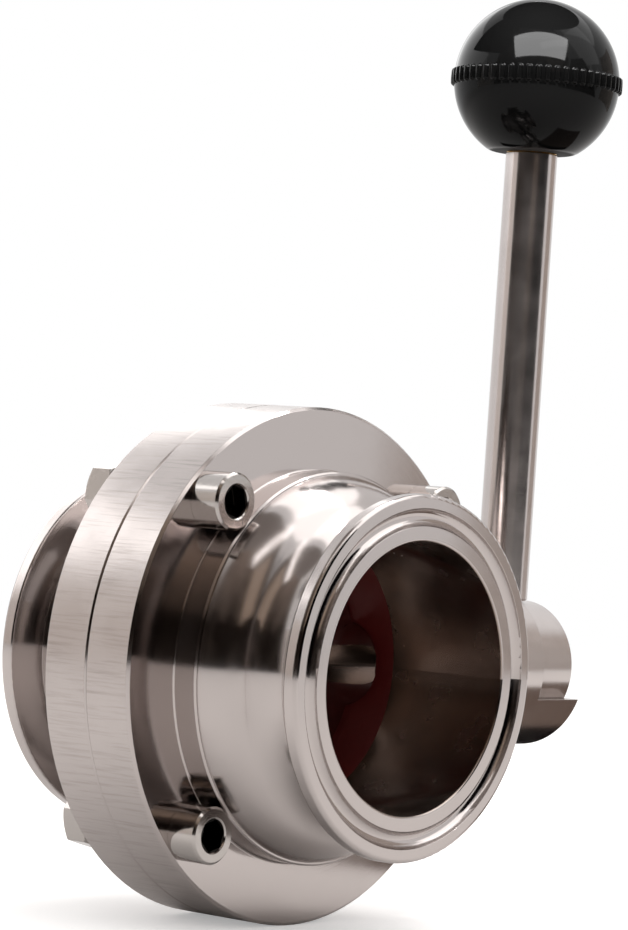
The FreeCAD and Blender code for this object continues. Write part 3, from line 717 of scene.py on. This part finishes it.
def matt(name, foot, top, low, high, mottle=0.24, patch_mm=90):
    """Matt cloth for a card: one colour up to a low height, another from a high one, mottled. A lighter top
    colour is painted light falling from above.
    """
    material, tree, output = new_material(name)
    spot = add(tree, "ShaderNodeTexCoord").outputs["Object"]
    parts = add(tree, "ShaderNodeSeparateXYZ", {0: spot})
    patches = add(tree, "ShaderNodeTexNoise", {"Vector": spot, "Scale": per_metre(patch_mm)})
    # Painted light: the share of the top colour grows with height, as if the cloth were lit from above
    rise = add(tree, "ShaderNodeMapRange", {"Value": parts.outputs["Z"], "From Min": low, "From Max": high,
                                            "To Min": -0.5 * mottle, "To Max": 1 - 0.5 * mottle})
    top_light_and_mottle = add(tree, "ShaderNodeMath", {0: patches.outputs["Fac"], 1: mottle, 2: rise.outputs[0]},
                   operation="MULTIPLY_ADD", use_clamp=True)
    shade = add(tree, "ShaderNodeMix", {0: top_light_and_mottle.outputs[0], 6: foot, 7: top}, data_type="RGBA")
    cloth = add(tree, "ShaderNodeBsdfDiffuse", {"Color": shade.outputs[2]})
    tree.links.new(cloth.outputs[0], output.inputs[0])
    return material


def soft_box(name, azimuth, elevation, distance, width, height, radiance, aim=CENTRE):
    """A rectangular lamp aimed at the valve or the knob, with a power of radiance times area times pi."""
    lamp = bpy.data.lights.new(name, "AREA")
    lamp.shape = "RECTANGLE"
    lamp.size = width
    lamp.size_y = height
    lamp.energy = radiance * width * height * math.pi
    made = bpy.data.objects.new(name, lamp)
    made.location = aim + direction(azimuth, elevation) * distance
    made.rotation_euler = (aim - made.location).to_track_quat("-Z", "Y").to_euler()
    made.visible_camera = False
    bpy.context.scene.collection.objects.link(made)
    return made


def seen_rays(tree):
    """Adds a Light Path and a mask: 1 for camera, glossy and transmission rays, 0 for the others."""
    rays = add(tree, "ShaderNodeLightPath")
    shiny = add(tree, "ShaderNodeMath",
                {0: rays.outputs["Is Glossy Ray"], 1: rays.outputs["Is Transmission Ray"]},
                operation="MAXIMUM")
    seen = add(tree, "ShaderNodeMath", {0: rays.outputs["Is Camera Ray"], 1: shiny.outputs[0]},
               operation="MAXIMUM")
    return rays, seen


def floor_material():
    """Matt pale board near the valve that turns white with distance.

    Camera, glossy and transmission rays see it white further away, so metal mirrors that background. A
    faint glow that only the camera sees keeps the board pale round the valve's shadow.
    """
    look = bpy.context.scene.valve_stage
    material, tree, output = new_material("pale_board_painted_matt")
    spot = add(tree, "ShaderNodeTexCoord").outputs["Object"]
    away = add(tree, "ShaderNodeVectorMath", {0: spot, 1: tuple(CENTRE)}, operation="DISTANCE")
    far = add(tree, "ShaderNodeMapRange",
              {"Value": away.outputs["Value"], "From Min": look.floor_fade_start,
               "From Max": look.floor_fade_end}, interpolation_type="SMOOTHSTEP")
    rays, seen = seen_rays(tree)
    white = add(tree, "ShaderNodeMath", {0: seen.outputs[0], 1: far.outputs[0]}, operation="MULTIPLY")
    board = add(tree, "ShaderNodeBsdfDiffuse", {"Color": look.floor})
    lift = add(tree, "ShaderNodeEmission", {"Color": (1, 1, 1, 1), "Strength": 0.35})
    lifted = add(tree, "ShaderNodeAddShader", {0: board.outputs[0], 1: lift.outputs[0]})
    near = add(tree, "ShaderNodeMixShader", {0: rays.outputs["Is Camera Ray"], 1: board.outputs[0],
                                             2: lifted.outputs[0]})
    glow = add(tree, "ShaderNodeEmission", {"Color": (1, 1, 1, 1), "Strength": 1.0})
    both = add(tree, "ShaderNodeMixShader", {0: white.outputs[0], 1: near.outputs[0], 2: glow.outputs[0]})
    tree.links.new(both.outputs[0], output.inputs[0])
    return material


def white_world():
    """White for what is seen directly, in metal or through glass, and a plain level for the rest."""
    world = bpy.data.worlds.new("studio_white")
    world.use_nodes = True
    tree = world.node_tree
    tree.nodes.clear()
    seen = seen_rays(tree)[1]
    strength = add(tree, "ShaderNodeMapRange", {"Value": seen.outputs[0], "To Min": 0.8, "To Max": 1.0})
    sky = add(tree, "ShaderNodeBackground", {"Color": (1, 1, 1, 1), "Strength": strength.outputs[0]})
    output = add(tree, "ShaderNodeOutputWorld")
    tree.links.new(sky.outputs[0], output.inputs[0])
    bpy.context.scene.world = world


def photograph_camera():
    """The camera: an upright view turned to its azimuth and elevation, rolled, and set off its target.

    Its numbers come from a fit to points of the photograph: angles in degrees, lengths in millimetres,
    and the focal length and the picture's longer side in pixels.
    """
    azimuth, elevation, roll = np.radians([-49.202, -0.2089, 3.9392])
    distance, aside, raised = 640.338, 8.648, 35.243
    focal_pixels, picture_pixels = 3575.568, 930
    ahead = np.array([-math.sin(azimuth) * math.cos(elevation), math.cos(azimuth) * math.cos(elevation),
                      -math.sin(elevation)])
    side = np.cross(ahead, [0, 0, 1])
    side /= np.linalg.norm(side)
    up = np.cross(side, ahead)
    right = side * math.cos(roll) + up * math.sin(roll)
    upward = up * math.cos(roll) - side * math.sin(roll)
    stand = np.array(CENTRE) / MM - ahead * distance + right * aside + upward * raised
    lens = bpy.data.cameras.new("photograph")
    lens.sensor_width = 36
    lens.lens = focal_pixels * lens.sensor_width / picture_pixels
    lens.clip_start = 0.01
    made = bpy.data.objects.new("photograph", lens)
    made.matrix_world = Matrix([[*row, where] for row, where in
                                zip(np.stack([right, upward, -ahead], 1), stand * MM)] + [[0, 0, 0, 1]])
    bpy.context.scene.collection.objects.link(made)
    bpy.context.scene.camera = made


class VALVE_OT_stage(bpy.types.Operator):
    """Sets up the floor, cards, lamps, world and camera"""
    bl_idname = "valve.stage"
    bl_label = "Stage and camera"

    def execute(self, context):
        context.scene.view_settings.view_transform = "Standard"
        lowest = cad_box[0][2]
        floor_half = 6.0
        side = np.linspace(-floor_half, floor_half, 3)
        x, y = np.meshgrid(side, side)
        floor = grid_mesh("floor", np.stack([x, y, np.full_like(x, lowest)], -1))
        floor.data.materials.append(floor_material())
        black = matt("black_cloth_and_painted_shadow", linear("#080606"), linear("#0c0909"), 0.1, 0.6)
        # Painted light: a top colour lighter than the foot colour paints light falling from above on a
        # cloth, most of all on the brown and cream ones
        brown = matt("brown_cloth_painted_lit_from_above", linear("#1d1815"), linear("#968980"), 0.3, 0.9, 0.7, 260)
        grey = matt("cloth_dyed_grey", linear("#98928f"), linear("#98928f"), 0.0, 1.0)
        tan = matt("cloth_dyed_tan", linear("#eee6e0"), linear("#f5f0ec"), 0.0, 0.4)
        cream = matt("cream_cloth_painted_lit_from_above", linear("#a08f80"), linear("#c2b2a3"), 0.1, 0.6)
        stone = matt("cloth_dyed_stone", linear("#bdb3ac"), linear("#c6bdb6"), 0.0, 0.4)
        umber = matt("umber_cloth_painted_shadow", linear("#6a5c54"), linear("#6a5c54"), 0.0, 0.4)
        card("brown_card", (-118, -10), (-112, 4), (-3, 62), 0.95, brown)
        card("cream_card", (-37, -15), (-34, -8), (17, 44), 0.9, cream)
        card("black_card", (-14, 44), (2, 22), (-3, 34), 0.85, black)
        card("side_card", (-146, -119), (-146, -116), (-3, 24), 0.97, tan)
        card("right_card", (50, 84), (55, 84), (-3, 30), 0.97, stone)
        card("grey_card", (-180, 0), (-180, 0), (62, 90), 1.3, grey)
        off_floor = lowest + 0.5 * MM
        # Painted shadow: dark cards on the floor right of the valve stand in for its shadow there, seen only
        # in the steel
        low_card("painted_shadow_black_card", (0.084, 0.22), (0.028, 0.16), off_floor, black)
        low_card("painted_shadow_umber_card", (0.084, 0.22), (-0.06, 0.028), off_floor, umber)
        card("knob_hood", (-180, 180), (-180, 180), (58, 90), 0.045, black, KNOB)
        card("knob_side_card", (-150, -92), (-150, -92), (24, 58), 0.045, black, KNOB)
        soft_box("small_window", -50, 39, 0.042, 0.046, 0.023, 24.0, KNOB)
        soft_box("window_right", 34, 44, 1.1, 0.6, 0.75, 1.25)
        soft_box("window_behind", 178, 33, 0.5, 0.75, 0.24, 1.6)
        soft_box("soft_overhead", 92, 64, 1.1, 1.2, 0.8, 1.35)
        soft_box("narrow_window", -18, 55, 0.85, 0.5, 0.13, 2.2)
        white_world()
        photograph_camera()
        return {"FINISHED"}


class VALVE_PT_panel(bpy.types.Panel):
    """Buttons and values of the valve's looks"""
    bl_idname = "VALVE_PT_panel"
    bl_label = "Butterfly valve"
    bl_space_type = "VIEW_3D"
    bl_region_type = "UI"
    bl_category = "Valve"

    def draw(self, context):
        for step in STEPS:
            self.layout.operator(step.bl_idname)
        for group in (context.scene.valve_steel, context.scene.valve_plastic, context.scene.valve_disc,
                      context.scene.valve_knob, context.scene.valve_stage):
            column = self.layout.column()
            for name in group.__annotations__:
                column.prop(group, name)


STEPS = (VALVE_OT_body, VALVE_OT_disc, VALVE_OT_handle, VALVE_OT_knob, VALVE_OT_seals, VALVE_OT_fasteners,
         VALVE_OT_stage)
GROUPS = (ValveSteelLook, ValvePlasticLook, ValveDiscShape, ValveKnobShape, ValveStageLook)


def register():
    """Registers the properties, operators and panel."""
    for kind in (*GROUPS, *STEPS, VALVE_PT_panel):
        bpy.utils.register_class(kind)
    bpy.types.Scene.valve_steel = bpy.props.PointerProperty(type=ValveSteelLook)
    bpy.types.Scene.valve_plastic = bpy.props.PointerProperty(type=ValvePlasticLook)
    bpy.types.Scene.valve_disc = bpy.props.PointerProperty(type=ValveDiscShape)
    bpy.types.Scene.valve_knob = bpy.props.PointerProperty(type=ValveKnobShape)
    bpy.types.Scene.valve_stage = bpy.props.PointerProperty(type=ValveStageLook)


def unregister():
    """Takes the panel, operators and properties away again."""
    for name in ("valve_steel", "valve_plastic", "valve_disc", "valve_knob", "valve_stage"):
        delattr(bpy.types.Scene, name)
    for kind in reversed((*GROUPS, *STEPS, VALVE_PT_panel)):
        bpy.utils.unregister_class(kind)


def main():
    register()
    bpy.ops.valve.body()
    bpy.ops.valve.disc()
    bpy.ops.valve.handle()
    bpy.ops.valve.knob()
    bpy.ops.valve.seals()
    bpy.ops.valve.fasteners()
    bpy.ops.valve.stage()


if __name__ == "__main__":
    main()
